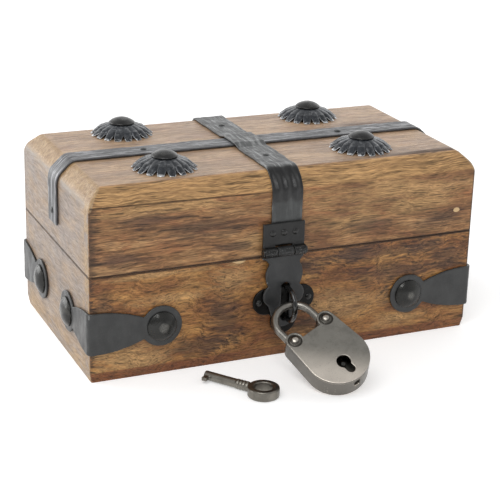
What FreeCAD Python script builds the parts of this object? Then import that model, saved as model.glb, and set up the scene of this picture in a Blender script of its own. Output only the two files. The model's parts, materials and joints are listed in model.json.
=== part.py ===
"""Wooden treasure chest with iron straps, a hasp, a padlock and its key, in millimetres.

The origin is the middle of the chest's underside: +Z up, X along the length, front towards -Y.
"""
import FreeCAD, Part
import math
import operator
import os
from types import SimpleNamespace

import Sketcher

V = FreeCAD.Vector
ORIGIN, X, Y, Z = V(), V(1, 0, 0), V(0, 1, 0), V(0, 0, 1)

# Driving dimensions: millimetres, and degrees where the name ends in _angle
SIZES = {
    # wooden boards
    "chest_length": 203.0,
    "chest_depth": 108.0,
    "base_height": 52.6,
    "lid_wall": 34.0,
    "top_thickness": 7.0,
    "top_inset": 7.2,
    "top_round": 5.0,
    "shoulder_round": 8.0,
    "hip_round": 2.5,
    "board_thickness": 7.0,
    "bottom_thickness": 6.0,
    "corner_round": 1.2,
    "bevel_height": 5.0,
    "bevel_depth": 0.9,
    "seam_gap": 0.4,
    # iron straps on the lid
    "iron_thickness": 1.2,
    "seat_gap": 0.15,
    "strap_bend": 1.0,
    "strap_end_height": 63.2,
    "cross_strap_x": -3.0,
    "cross_strap_width": 16.0,
    "long_strap_width": 13.0,
    "long_strap_y": -0.6,
    "strap_ramp": 5.0,
    # fluted rosettes
    "rosette_middle_y": 3.0,
    "rosette_x": 52.4,
    "rosette_y": 30.8,
    "rosette_radius": 16.0,
    "rosette_flute": 1.5,
    "rosette_mid_radius": 11.9,
    "rosette_mid_height": 3.4,
    "rosette_mid_flute": 1.0,
    "rosette_neck": 6.2,
    "rosette_height": 5.5,
    "rosette_neck_flute": 0.25,
    "rosette_shell": 1.0,
    "rosette_petals": 17,
    "rosette_notch_width": 2.6,
    "rosette_notch_height": 2.0,
    # corner straps on the base
    "corner_strap_z": 24.1,
    "corner_lift": 0.9,
    "corner_strap_height": 21.0,
    "corner_front_reach": 35.2,
    "corner_end_reach": 31.5,
    "corner_neck": 10.9,
    "corner_end_radius": 10.2,
    "corner_sweep": 63.0,
    # hasp and staple
    "hasp_x": -5.0,
    "hasp_pin_z": 56.0,
    "hasp_width": 21.8,
    "hasp_upper_height": 14.0,
    "hasp_barrel_radius": 2.5,
    "hasp_pin_radius": 1.2,
    "hasp_pin_head": 1.9,
    "hasp_middle_knuckle": 8.4,
    "knuckle_gap": 0.3,
    "leaf_gap": 0.3,
    "leaf_shift": 0.9,
    "leaf_shoulder_drop": 3.8,
    "leaf_shoulder_round": 4.6,
    "leaf_notch": 8.0,
    "leaf_notch_drop": 7.0,
    "leaf_waist": 8.1,
    "leaf_waist_drop": 18.2,
    "leaf_belly_round": 9.8,
    "leaf_lobe": 8.0,
    "leaf_lobe_drop": 28.0,
    "leaf_lobe_round": 5.7,
    "leaf_tongue": 5.4,
    "leaf_tongue_drop": 36.0,
    "leaf_tongue_round": 5.7,
    "slot_clearance": 0.8,
    "slot_width": 4.6,
    "staple_x": -3.2,
    "staple_z": 29.3,
    "staple_bend": 7.9,
    "staple_reach": 15.5,
    "staple_bar": 1.3,
    "staple_depth": 6.0,
    "plate_lobe_radius": 6.8,
    "plate_lobe_x": 9.5,
    "plate_lobe_z": 29.6,
    "plate_foot_z": 19.0,
    # rear hinges
    "hinge_x": 62.0,
    "hinge_width": 18.0,
    "hinge_leaf_height": 11.0,
    "hinge_leaf_thickness": 1.0,
    "hinge_barrel_radius": 2.0,
    "hinge_pin_radius": 1.0,
    "hinge_screw_spread": 6.0,
    "hinge_screw_drop": 7.0,
    # nails and screws
    "flat_head_radius": 1.7,
    "flat_head_height": 0.7,
    "flat_shank_radius": 0.7,
    "flat_nail_length": 7.5,
    "dome_radius": 7.4,
    "dome_height": 3.2,
    "cap_radius": 6.5,
    "cap_height": 3.0,
    "big_shank_radius": 1.1,
    "corner_nail_length": 7.0,
    "rosette_nail_length": 12.0,
    "screw_length": 6.0,
    "strap_nail_y": 28.0,
    "strap_nail_x": 53.0,
    "strap_nail_rise": 6.0,
    "hasp_nail_spread": 6.0,
    "hasp_nail_rise": 9.1,
    "plate_nail_x": 13.2,
    "push_fit": 0.02,
    "running_fit": 0.05,
    # padlock
    "case_radius": 15.5,
    "case_depth": 11.0,
    "case_wall": 1.0,
    "case_plate": 1.2,
    "case_top": 17.7,
    "ear_radius": 4.4,
    "ear_x": 9.8,
    "ear_rise": 18.4,
    "shackle_radius": 1.85,
    "shackle_leg": 10.2,
    "shackle_slack": 0.35,
    "shackle_eye": 3.0,
    "mouth_reach": 6.6,
    "mouth_side_angle": 40.0,
    "toe_mouth_reach": 5.0,
    "grip_angle": 58.0,
    "grip_rise_angle": 14.0,
    "grip_gap": 0.5,
    "rivet_radius": 1.5,
    "rivet_head": 2.5,
    "rivet_head_height": 1.2,
    "rivet_ring": 3.1,
    "rivet_ring_depth": 0.35,
    "keyhole_drop": 4.5,
    "keyhole_radius": 3.4,
    "keyhole_slot": 4.2,
    "keyhole_reach": 3.7,
    "post_radius": 1.0,
    "tongue_gap": 0.4,
    "tongue_width": 1.2,
    "tongue_angle": 20.0,
    "tongue_start_angle": 10.0,
    "tongue_mouth_angle": 15.0,
    "tongue_thickness": 3.0,
    "notch_depth": 0.6,
    "latch_rise": 13.5,
    "latch_thickness": 2.4,
    "latch_strip": 1.1,
    "latch_gap": 0.25,
    "latch_lever_x": 2.0,
    "latch_foot_x": 9.3,
    "latch_foot_y": 6.75,
    "latch_foot_lean": 1.0,
    "lock_yaw_angle": -22.5,
    "lock_roll_angle": 40.8,
    "lock_open_angle": 90.0,
    "floor_gap": 0.1,
    # key
    "key_x": -48.9,
    "key_y": -68.3,
    "key_turn_angle": -53.8,
    "key_stem_radius": 2.2,
    "key_stem_length": 25.0,
    "key_bore_radius": 1.1,
    "key_bore_depth": 11.0,
    "key_bead_radius": 2.45,
    "key_bead_width": 1.0,
    "key_bead_pitch": 1.63,
    "key_bead_start": 17.3,
    "key_bow_radius": 7.55,
    "key_bow_hole": 4.4,
    "key_bow_round": 0.85,
    "key_bit_reach": 4.85,
    "key_bit_width": 2.6,
    "key_bit_height": 1.9,
    "key_bit_start": 0.5,
}
KEY_BEADS = 4


class Size:
    """A number together with the spreadsheet expression that gives it."""

    def __init__(self, value, text=None):
        self.value = float(value)
        self.text = text or str(self.value)

    def __float__(self):
        return self.value

    def __neg__(self):
        return joined(0, "-", self)

    def __add__(self, other):
        return joined(self, "+", other)

    def __radd__(self, other):
        return joined(other, "+", self)

    def __sub__(self, other):
        return joined(self, "-", other)

    def __rsub__(self, other):
        return joined(other, "-", self)

    def __mul__(self, other):
        return joined(self, "*", other)

    def __rmul__(self, other):
        return joined(other, "*", self)

    def __truediv__(self, other):
        return joined(self, "/", other)


SIGNS = {"+": operator.add, "-": operator.sub, "*": operator.mul, "/": operator.truediv}


def joined(first, sign, second):
    """Two sizes joined by one arithmetic sign."""
    first, second = [item if isinstance(item, Size) else Size(item) for item in (first, second)]
    return Size(SIGNS[sign](first.value, second.value), f"({first.text} {sign} {second.text})")


def root(size):
    """Square root of a size."""
    return Size(math.sqrt(size.value), f"sqrt({size.text})")


doc = FreeCAD.newDocument("treasure_chest")
sheet = doc.addObject("Spreadsheet::Sheet", "Sizes")
for row, (alias, number) in enumerate(SIZES.items(), 1):
    sheet.set(f"A{row}", alias)
    sheet.set(f"B{row}", str(number))
    sheet.setAlias(f"B{row}", alias)
doc.recompute()
d = SimpleNamespace(**{alias: Size(sheet.get(alias), f"Sizes.{alias}") for alias in SIZES})
nodes = []


# Document objects whose sizes follow the sheet

def bind(item, **values):
    for name, value in values.items():
        if isinstance(value, Size):
            item.setExpression(name, value.text)
        else:
            setattr(item, name, value)


def place(item, x=0, y=0, z=0, turn=None):
    item.Placement = FreeCAD.Placement(V(float(x), float(y), float(z)), turn or FreeCAD.Rotation())
    for axis, value in zip("xyz", (x, y, z)):
        if isinstance(value, Size):
            item.setExpression(f"Placement.Base.{axis}", value.text)
    return item


def node(item):
    """Marks a finished sub-part, whose label names its file."""
    nodes.append(item)
    return item


def box(name, low, high):
    item = doc.addObject("Part::Box", name)
    bind(item, **{side: b - a for side, a, b in zip(("Length", "Width", "Height"), low, high)})
    return place(item, *low)


def rod(name, radius, length, start, along, sector=360):
    item = doc.addObject("Part::Cylinder", name)
    bind(item, Radius=radius, Height=length, Angle=sector)
    return place(item, *start, turn=FreeCAD.Rotation(Z, along))


def frustum(name, low_half, high_half, low_z, height):
    """Block on a rectangle about the Z axis that narrows or widens with height."""
    item = doc.addObject("Part::Wedge", name)
    bind(item, Xmin=-low_half[0], Xmax=low_half[0], Zmin=-low_half[1], Zmax=low_half[1],
         X2min=-high_half[0], X2max=high_half[0], Z2min=-high_half[1], Z2max=high_half[1],
         Ymin=0, Ymax=height)
    return place(item, 0, 0, low_z, FreeCAD.Rotation(X, 90))


def fused(name, *parts):
    item = doc.addObject("Part::MultiFuse", name)
    item.Shapes = parts
    item.Refine = True
    return item


def cut(name, base, tool):
    item = doc.addObject("Part::Cut", name)
    item.Base, item.Tool = base, tool
    return item


def common(name, first, second):
    item = doc.addObject("Part::Common", name)
    item.Base, item.Tool = first, second
    return item


def rounded(name, base, wanted, radius):
    """Fillets every edge of the base that wanted() picks."""
    doc.recompute()
    item = doc.addObject("Part::Fillet", name)
    item.Base = base
    picked = [number for number, edge in enumerate(base.Shape.Edges, 1) if wanted(edge)]
    sizes = [float(radius(base.Shape.Edges[number - 1])) for number in picked]
    item.Edges = [(number, size, size) for number, size in zip(picked, sizes)]
    return item


def mirrored(name, source, normal):
    item = doc.addObject("Part::Mirroring", name)
    item.Source, item.Normal, item.Base = source, normal, ORIGIN
    return item


def solid(name, shape, placement=None):
    """A shape that no document feature makes, put where its placement says."""
    item = doc.addObject("Part::Feature", name)
    item.Shape = shape
    if placement:
        item.Placement = placement.multiply(item.Placement)
    return item


def arc_between(start, end, radius):
    """Arc of less than half a turn: counter-clockwise for a positive radius."""
    chord = end - start
    height = math.sqrt(max(radius ** 2 - chord.Length ** 2 / 4, 0))
    side = V(-chord.y, chord.x, 0).normalize()
    centre = (start + end) / 2 + side * (height if radius > 0 else -height)
    first, last = (start, end) if radius > 0 else (end, start)
    angles = [math.atan2(p.y - centre.y, p.x - centre.x) for p in (first, last)]
    return Part.ArcOfCircle(Part.Circle(centre, Z, abs(radius)), *angles)


def draw(sketch, corners):
    """Closed outline: each corner is (x, y) or (x, y, radius of the arc to the next corner)."""
    base = sketch.GeometryCount
    points = [V(float(c[0]), float(c[1]), 0) for c in corners]
    ends = []
    for i, corner in enumerate(corners):
        start, end = points[i], points[(i + 1) % len(points)]
        if len(corner) == 2:
            sketch.addGeometry(Part.LineSegment(start, end))
            ends.append((1, 2))
        else:
            sketch.addGeometry(arc_between(start, end, float(corner[2])))
            ends.append((1, 2) if float(corner[2]) > 0 else (2, 1))
    for i, corner in enumerate(corners):
        after = (i + 1) % len(corners)
        sketch.addConstraint(
            Sketcher.Constraint("Coincident", base + i, ends[i][1], base + after, ends[after][0]))
        for kind, value in (("DistanceX", corner[0]), ("DistanceY", corner[1])):
            tie(sketch, Sketcher.Constraint(kind, -1, 1, base + i, ends[i][0], float(value)), value)
        if len(corner) == 3:
            radius = corner[2] if float(corner[2]) > 0 else -corner[2]
            tie(sketch, Sketcher.Constraint("Radius", base + i, float(radius)), radius)


def tie(sketch, constraint, value):
    number = sketch.addConstraint(constraint)
    if isinstance(value, Size):
        sketch.setExpression(f"Constraints[{number}]", value.text)


def plate(name, plane, outlines, thickness):
    """Body padded evenly to both sides of one of its origin planes."""
    body = doc.addObject("PartDesign::Body", name)
    sketch = body.newObject("Sketcher::SketchObject", f"{name}_outline")
    sketch.AttachmentSupport = [(f, "") for f in body.Origin.OriginFeatures if f.Role == plane]
    sketch.MapMode = "FlatFace"
    for corners in outlines:
        draw(sketch, corners)
    pad = body.newObject("PartDesign::Pad", f"{name}_pad")
    pad.Profile = sketch
    pad.Midplane = True
    bind(pad, Length=thickness)
    return body


# Main levels of the chest
half_length = d.chest_length / 2
half_depth = d.chest_depth / 2
lid_bottom = d.base_height + d.seam_gap
lid_shoulder = lid_bottom + d.lid_wall
lid_top = lid_shoulder + d.top_thickness
inner_x = half_length - d.board_thickness
inner_y = half_depth - d.board_thickness
iron_back = d.seat_gap
iron_face = d.seat_gap + d.iron_thickness
leaf_back = iron_face + d.leaf_gap
leaf_face = leaf_back + d.iron_thickness


# Nails and screws, with the pilot holes that they fill

def nail_kind(head, height, shank, length):
    return SimpleNamespace(head=float(head), height=float(height), shank=float(shank), length=float(length))


FLAT = nail_kind(d.flat_head_radius, d.flat_head_height, d.flat_shank_radius, d.flat_nail_length)
DOME = nail_kind(d.dome_radius, d.dome_height, d.big_shank_radius, d.corner_nail_length)
CAP = nail_kind(d.cap_radius, d.cap_height, d.big_shank_radius, d.rosette_nail_length)
SCREW = nail_kind(d.flat_head_radius, d.flat_head_height, d.flat_shank_radius, d.screw_length)
HEAD_RIM = 0.2
pilot_holes = []


def turned(profile):
    """Solid of revolution about Z from (radius, height) corners; a second pair is a point on an arc."""
    edges = []
    here = V(profile[0][0], 0, profile[0][1])
    for corner in profile[1:] + profile[:1]:
        there = V(corner[0], 0, corner[1])
        if len(corner) == 4:
            edges.append(Part.Arc(here, V(corner[2], 0, corner[3]), there).toShape())
        else:
            edges.append(Part.LineSegment(here, there).toShape())
        here = there
    return Part.Face(Part.Wire(edges)).revolve(ORIGIN, Z, 360)


def domed_head(radius, height):
    """Rim, crown and the point halfway along the crown's arc."""
    rim = height * HEAD_RIM
    rise = height - rim
    ball = (radius ** 2 + rise ** 2) / (2 * rise)
    half = math.asin(min(radius / ball, 1)) / 2
    return rim, ball * math.sin(half), height - ball * (1 - math.cos(half))


def nail(kind, point, outward):
    """Nail whose head rests at the point, and the pilot hole below it."""
    where = FreeCAD.Placement(V(*[float(value) for value in point]), FreeCAD.Rotation(Z, outward))
    rim, mid_radius, mid_height = domed_head(kind.head, kind.height)
    shape = turned([(0, -kind.length), (kind.shank, -kind.length), (kind.shank, 0), (kind.head, 0),
                    (kind.head, rim), (0, kind.height, mid_radius, mid_height)])
    shape.Placement = where
    hole = Part.makeCylinder(kind.shank + float(d.push_fit), kind.length + float(d.seat_gap),
                             V(0, 0, -kind.length - float(d.seat_gap)))
    hole.Placement = where
    pilot_holes.append(hole)
    return shape


def nails(name, kind, seats):
    node(solid(name, Part.makeCompound([nail(kind, point, outward) for point, outward in seats])))


def corners(x, y):
    return [(sx * x, sy * y, sx, sy) for sx in (-1, 1) for sy in (-1, 1)]


iron_on_front = -half_depth - iron_face
iron_on_back = half_depth + iron_face
iron_on_top = lid_top + iron_face
hinge_z = d.base_height + d.seam_gap / 2
hinge_face = half_depth + iron_back + d.hinge_leaf_thickness


def corner_z(side):
    """Middle height of a corner strap: those at the left end, side -1, were nailed higher."""
    return d.corner_strap_z - side * d.corner_lift


nails("strap_nails", FLAT, [
    ((d.cross_strap_x, d.long_strap_y - d.strap_nail_y, iron_on_top), Z),
    ((d.cross_strap_x, d.long_strap_y + d.strap_nail_y, iron_on_top), Z),
    ((d.cross_strap_x, iron_on_back, d.strap_end_height + d.strap_nail_rise), Y),
    ((d.cross_strap_x - d.strap_nail_x, d.long_strap_y, iron_on_top), Z),
    ((d.cross_strap_x + d.strap_nail_x, d.long_strap_y, iron_on_top), Z),
    ((-half_length - iron_face, d.long_strap_y, d.strap_end_height + d.strap_nail_rise), -X),
    ((half_length + iron_face, d.long_strap_y, d.strap_end_height + d.strap_nail_rise), X),
])
nails("rosette_nails", CAP, [
    ((d.cross_strap_x + x, d.rosette_middle_y + y, lid_top + iron_back + d.rosette_height), Z)
    for x, y, _, _ in corners(d.rosette_x, d.rosette_y)])
nails("corner_nails", DOME, [
    seat for x, y, sx, sy in corners(1, 1) for seat in (
        ((sx * (half_length - d.corner_front_reach), sy * iron_on_back, corner_z(sx)), Y * sy),
        ((sx * (half_length + iron_face), sy * (half_depth - d.corner_end_reach), corner_z(sx)), X * sx))])
nails("hasp_nails", FLAT, [
    ((d.hasp_x + i * d.hasp_nail_spread, -half_depth - leaf_face, d.hasp_pin_z + d.hasp_nail_rise), -Y)
    for i in (-1, 0, 1)])
nails("plate_nails", FLAT, [
    ((d.staple_x + i * d.plate_nail_x, iron_on_front, d.plate_lobe_z), -Y) for i in (-1, 1)])
for part_name, side in (("base", -1), ("lid", 1)):
    nails(f"hinge_screws_{part_name}", SCREW, [
        ((i * d.hinge_x + j * d.hinge_screw_spread, hinge_face, hinge_z + side * d.hinge_screw_drop), Y)
        for i in (-1, 1) for j in (-1, 1)])

# The staple's two legs fill pilot holes too
staple_bend_y = -half_depth - (d.staple_reach - d.staple_bend - d.staple_bar)
staple_leg_end = d.staple_depth - half_depth
for side in (-1, 1):
    pilot_holes.append(Part.makeCylinder(
        float(d.staple_bar + d.push_fit), float(half_depth + iron_face + staple_leg_end + d.seat_gap),
        V(float(d.staple_x), float(-half_depth - iron_face), float(d.staple_z + side * d.staple_bend)), Y))
pilots = solid("pilot_holes", Part.makeCompound(pilot_holes))


def drilled(name, base):
    return node(cut(name, base, pilots))


# Wooden boards, each the part of its box that lies in the form of the whole base or lid

def level(edge):
    """Height of an edge that lies flat, or None."""
    low, high = sorted(vertex.Z for vertex in edge.Vertexes)
    return low if high - low < 0.01 else None


def upright(edge):
    return abs(edge.tangentAt(edge.FirstParameter).z) > 0.9


def board(name, low, high, form):
    blank = box(f"{name}_blank", [min(pair, key=float) for pair in zip(low, high)],
                [max(pair, key=float) for pair in zip(low, high)])
    drilled(name, common(f"{name}_shaped", blank, form))


def walls(part_name, low_z, high_z, form):
    """Front and back boards that run the full length, with the end boards between them."""
    for side, sign in (("front", -1), ("back", 1)):
        board(f"{part_name}_{side}_board", (-half_length, sign * half_depth, low_z),
              (half_length, sign * inner_y, high_z), form)
    for side, sign in (("left", -1), ("right", 1)):
        board(f"{part_name}_{side}_board", (sign * half_length, -inner_y, low_z),
              (sign * inner_x, inner_y, high_z), form)


base_solid = fused(
    "base_solid",
    frustum("base_bevel", (half_length - d.bevel_depth, half_depth - d.bevel_depth),
            (half_length, half_depth), 0, d.bevel_height),
    box("base_block", (-half_length, -half_depth, d.bevel_height), (half_length, half_depth, d.base_height)))
base_form = rounded("base_form", base_solid, upright, lambda edge: d.corner_round)
walls("base", Size(0), d.base_height, base_form)
node(box("base_bottom_panel", (-inner_x, -inner_y, Size(0)), (inner_x, inner_y, d.bottom_thickness)))

lid_solid = fused(
    "lid_solid",
    box("lid_block", (-half_length, -half_depth, lid_bottom), (half_length, half_depth, lid_shoulder)),
    frustum("lid_chamfer", (half_length, half_depth), (half_length - d.top_inset, half_depth - d.top_inset),
            lid_shoulder, d.top_thickness))


def above_seam(edge):
    return level(edge) is None or level(edge) > float(d.base_height + d.seam_gap * 2)


def lid_round(edge):
    """Radius of one of the lid's edges: uprights, hips, shoulders and the rim of the top."""
    if level(edge) is None:
        return d.corner_round if upright(edge) else d.hip_round
    return d.top_round if level(edge) > float(lid_shoulder + lid_top) / 2 else d.shoulder_round


lid_form = rounded("lid_form", lid_solid, above_seam, lid_round)
walls("lid", lid_bottom, lid_shoulder, lid_form)
board("lid_top_board", (-half_length, -half_depth, lid_shoulder),
      (half_length, half_depth, lid_top), lid_form)


# Iron straps that follow the lid

def shifted(points, distance):
    """Corners of the line that runs at a distance to the left of a path."""
    steps = [(b - a).normalize() for a, b in zip(points, points[1:])]
    left = [V(-s.y, s.x, 0) for s in steps]
    moved = [points[0] + left[0] * distance]
    for i in range(1, len(points) - 1):
        middle = (left[i - 1] + left[i]).normalize()
        moved.append(points[i] + middle * (distance / middle.dot(left[i])))
    return moved + [points[-1] + left[-1] * distance]


def softened(points, radii):
    """Edges of a path whose inner corners are tangent arcs."""
    edges = []
    here = points[0]
    for before, corner, after, radius in zip(points, points[1:], points[2:], radii):
        into, out = (corner - before).normalize(), (after - corner).normalize()
        half = into.getAngle(out) / 2
        run = radius * math.tan(half)
        middle = corner + (out - into).normalize() * (radius / math.cos(half) - radius)
        edges.append(Part.LineSegment(here, corner - into * run))
        edges.append(Part.Arc(corner - into * run, middle, corner + out * run))
        here = corner + out * run
    return edges + [Part.LineSegment(here, points[-1])]


def strap(name, plane, path, width):
    """Flat band on the left of a path of (x, y, bend radius), at the seat gap."""
    points = [V(float(x), float(y), 0) for x, y, _ in path]
    turns = [(b - a).cross(c - b).z for a, b, c in zip(points, points[1:], points[2:])]
    sides = []
    for distance in (float(iron_back), float(iron_face)):
        bends = [float(path[i + 1][2]) + (distance if turn < 0 else -distance)
                 for i, turn in enumerate(turns)]
        sides.append(softened(shifted(points, distance), bends))
    body = doc.addObject("PartDesign::Body", f"{name}_band")
    sketch = body.newObject("Sketcher::SketchObject", f"{name}_section")
    sketch.AttachmentSupport = [(f, "") for f in body.Origin.OriginFeatures if f.Role == plane]
    sketch.MapMode = "FlatFace"
    near, far = sides
    for edge in near + far:
        sketch.addGeometry(edge)
    for end in (lambda edges: edges[0].StartPoint, lambda edges: edges[-1].EndPoint):
        sketch.addGeometry(Part.LineSegment(end(near), end(far)))
    pad = body.newObject("PartDesign::Pad", f"{name}_pad")
    pad.Profile = sketch
    pad.Midplane = True
    bind(pad, Length=width)
    return body


def over_lid(half_span, hump=()):
    """Path over the lid from one side to the other, with corners for a hump in its middle."""
    rise = [(-half_span, d.strap_end_height, 0), (-half_span, lid_shoulder, d.shoulder_round),
            (d.top_inset - half_span, lid_top, d.top_round)]
    return rise + list(hump) + [(-x, z, bend) for x, z, bend in reversed(rise)]


hump_half = d.long_strap_width / 2 + d.seat_gap * 2
hump_bend = d.iron_thickness + d.strap_bend * 2
hump_top = lid_top + iron_face
hump = [(d.long_strap_y - hump_half - d.strap_ramp, lid_top, hump_bend),
        (d.long_strap_y - hump_half, hump_top, hump_bend),
        (d.long_strap_y + hump_half, hump_top, hump_bend),
        (d.long_strap_y + hump_half + d.strap_ramp, lid_top, hump_bend)]
long_band = strap("long_strap", "XZ_Plane", over_lid(half_length), d.long_strap_width)
drilled("long_strap", place(long_band, 0, d.long_strap_y, 0))
cross_band = strap("cross_strap", "YZ_Plane", over_lid(half_depth, hump), d.cross_strap_width)
drilled("cross_strap", place(cross_band, d.cross_strap_x, 0, 0))


# Rosettes: a hollow fluted dome whose petals are arcs between sharp valleys, notched at its rim
PETALS = int(float(d.rosette_petals))
PETAL_STEP = 360 / PETALS


def polar(radius, degrees, z=0):
    return V(radius * math.cos(math.radians(degrees)), radius * math.sin(math.radians(degrees)), z)


def petal_ring(ridge, flute, height):
    ridge, valley, height = float(ridge), float(ridge - flute), float(height)
    arcs = []
    for i in range(PETALS):
        start, crest, end = [polar(radius, (i + part) * PETAL_STEP, height)
                             for radius, part in ((valley, 0), (ridge, 0.5), (valley, 1))]
        arcs.append(Part.Arc(start, crest, end).toShape())
    return Part.Wire(arcs)


def petal_notches():
    """Tent-shaped openings where the valleys lift off the lid."""
    half, tall = float(d.rosette_notch_width / 2), float(d.rosette_notch_height)
    start = float(d.rosette_mid_radius - d.rosette_notch_height)
    ends = [V(start, -half, 0), V(start, half, 0), V(start, 0, tall)]
    tent = Part.Face(Part.makePolygon(ends + ends[:1])).extrude(V(float(d.rosette_radius), 0, 0))
    return [tent.rotated(ORIGIN, Z, i * PETAL_STEP) for i in range(PETALS)]


def rosette():
    dome = Part.makeLoft([
        petal_ring(d.rosette_radius, d.rosette_flute, Size(0)),
        petal_ring(d.rosette_mid_radius, d.rosette_mid_flute, d.rosette_mid_height),
        petal_ring(d.rosette_neck, d.rosette_neck_flute, d.rosette_height)], True, True)
    hollow = Part.makeCone(*[float(size) for size in (
        d.rosette_radius - d.rosette_flute - d.rosette_shell, d.rosette_neck - d.rosette_shell,
        d.rosette_height - d.rosette_shell)])
    return dome.cut([hollow] + petal_notches())


rosette_shape = rosette()
for x, y, sx, sy in corners(d.rosette_x, d.rosette_y):
    side = ("front" if sy < 0 else "back") + ("_left" if sx < 0 else "_right")
    spot = V(float(d.cross_strap_x + x), float(d.rosette_middle_y + y), float(lid_top + iron_back))
    blank = solid(f"rosette_{side}_blank", rosette_shape, FreeCAD.Placement(spot, FreeCAD.Rotation()))
    drilled(f"rosette_{side}", blank)


# Corner straps: two tapered arms with round ends, joined by a bend round the upright corner

def arm(name, plane, reach):
    half, neck, end = d.corner_strap_height / 2, d.corner_neck / 2, d.corner_end_radius
    run = reach - d.corner_round
    neck_at = run - root(end * end - neck * neck)
    return plate(name, plane, [[
        (Size(0), -half, d.corner_sweep), (neck_at, -neck, end), (run + end, Size(0), end),
        (neck_at, neck, d.corner_sweep), (Size(0), half)]], d.iron_thickness)


def corner_blank(name, z):
    """Strap round the front left corner, with its middle at a height."""
    front_arm = place(arm(f"{name}_front_arm", "XZ_Plane", d.corner_front_reach),
                      d.corner_round - half_length, -half_depth - (iron_back + iron_face) / 2, z)
    end_arm = place(arm(f"{name}_end_arm", "YZ_Plane", d.corner_end_reach),
                    -half_length - (iron_back + iron_face) / 2, d.corner_round - half_depth, z)
    bend_at = (d.corner_round - half_length, d.corner_round - half_depth, z - d.corner_strap_height / 2)
    bend = cut(f"{name}_bend",
               rod(f"{name}_bend_outer", d.corner_round + iron_face, d.corner_strap_height, bend_at, Z, 90),
               rod(f"{name}_bend_inner", d.corner_round + iron_back, d.corner_strap_height, bend_at, Z, 90))
    for quarter in (bend.Base, bend.Tool):
        place(quarter, *bend_at, turn=FreeCAD.Rotation(Z, 180))
    return fused(name, front_arm, end_arm, bend)


corner_left = corner_blank("corner_left", corner_z(-1))
corner_right = mirrored("corner_right", corner_blank("corner_right_mirror", corner_z(1)), X)
drilled("corner_strap_front_left", corner_left)
drilled("corner_strap_front_right", corner_right)
drilled("corner_strap_back_left", mirrored("corner_back_left", corner_left, Y))
drilled("corner_strap_back_right", mirrored("corner_back_right", corner_right, Y))


# Hasp: an upper leaf on the lid, a knuckle pin and the slotted leaf that drops over the staple
hasp_half = d.hasp_width / 2
knuckle_half = d.hasp_middle_knuckle / 2
outer_knuckle = knuckle_half + d.knuckle_gap
barrel_clear = d.hasp_barrel_radius + d.knuckle_gap
hasp_pin_y = -half_depth - leaf_back - d.hasp_barrel_radius
leaf_y = -half_depth - (leaf_back + leaf_face) / 2


def barrel(name, radius, spans, y, z):
    return [rod(f"{name}_{i}", radius, high - low, (low, y, z), X) for i, (low, high) in enumerate(spans)]


upper_plate = place(plate("hasp_upper_plate", "XZ_Plane", [[
    (-hasp_half, Size(0)), (-outer_knuckle, Size(0)), (-outer_knuckle, barrel_clear),
    (outer_knuckle, barrel_clear), (outer_knuckle, Size(0)), (hasp_half, Size(0)),
    (hasp_half, d.hasp_upper_height), (-hasp_half, d.hasp_upper_height)]], d.iron_thickness),
    d.hasp_x, leaf_y, d.hasp_pin_z)
upper_solid = fused("hasp_upper_solid", upper_plate, *barrel(
    "hasp_upper_barrel", d.hasp_barrel_radius,
    [(d.hasp_x - hasp_half, d.hasp_x - outer_knuckle), (d.hasp_x + outer_knuckle, d.hasp_x + hasp_half)],
    hasp_pin_y, d.hasp_pin_z))
upper_bore = rod("hasp_upper_bore", d.hasp_pin_radius + d.push_fit, d.hasp_width,
                 (d.hasp_x - hasp_half, hasp_pin_y, d.hasp_pin_z), X)
drilled("hasp_upper_leaf", cut("hasp_upper_bored", upper_solid, upper_bore))

head_width = d.hasp_pin_radius / 2
node(fused(
    "hasp_pin",
    rod("hasp_pin_shaft", d.hasp_pin_radius, d.hasp_width + head_width * 2,
        (d.hasp_x - hasp_half - head_width, hasp_pin_y, d.hasp_pin_z), X),
    rod("hasp_pin_head_left", d.hasp_pin_head, head_width,
        (d.hasp_x - hasp_half - head_width, hasp_pin_y, d.hasp_pin_z), X),
    rod("hasp_pin_head_right", d.hasp_pin_head, head_width,
        (d.hasp_x + hasp_half, hasp_pin_y, d.hasp_pin_z), X)))

slot_top = d.staple_z + d.staple_bend + d.staple_bar + d.slot_clearance - d.hasp_pin_z
slot_foot = d.staple_z - d.staple_bend - d.staple_bar - d.slot_clearance - d.hasp_pin_z
slot_half = d.slot_width / 2
slot_x = d.staple_x - d.hasp_x
right_side = [
    (d.leaf_tongue, -d.leaf_tongue_drop),
    (d.leaf_lobe, -d.leaf_lobe_drop, d.leaf_lobe_round),
    (d.leaf_waist, -d.leaf_waist_drop, d.leaf_belly_round),
    (d.leaf_notch, -d.leaf_notch_drop, -d.leaf_shoulder_round),
    (hasp_half, -d.leaf_shoulder_drop),
    (hasp_half, -barrel_clear),
    (knuckle_half, -barrel_clear),
    (knuckle_half, Size(0)),
]
arcs_down = [corner[2:] for corner in reversed(right_side[:-1])] + [(d.leaf_tongue_round,)]
left_side = [(-corner[0], corner[1]) + arc for corner, arc in zip(reversed(right_side), arcs_down)]
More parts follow.
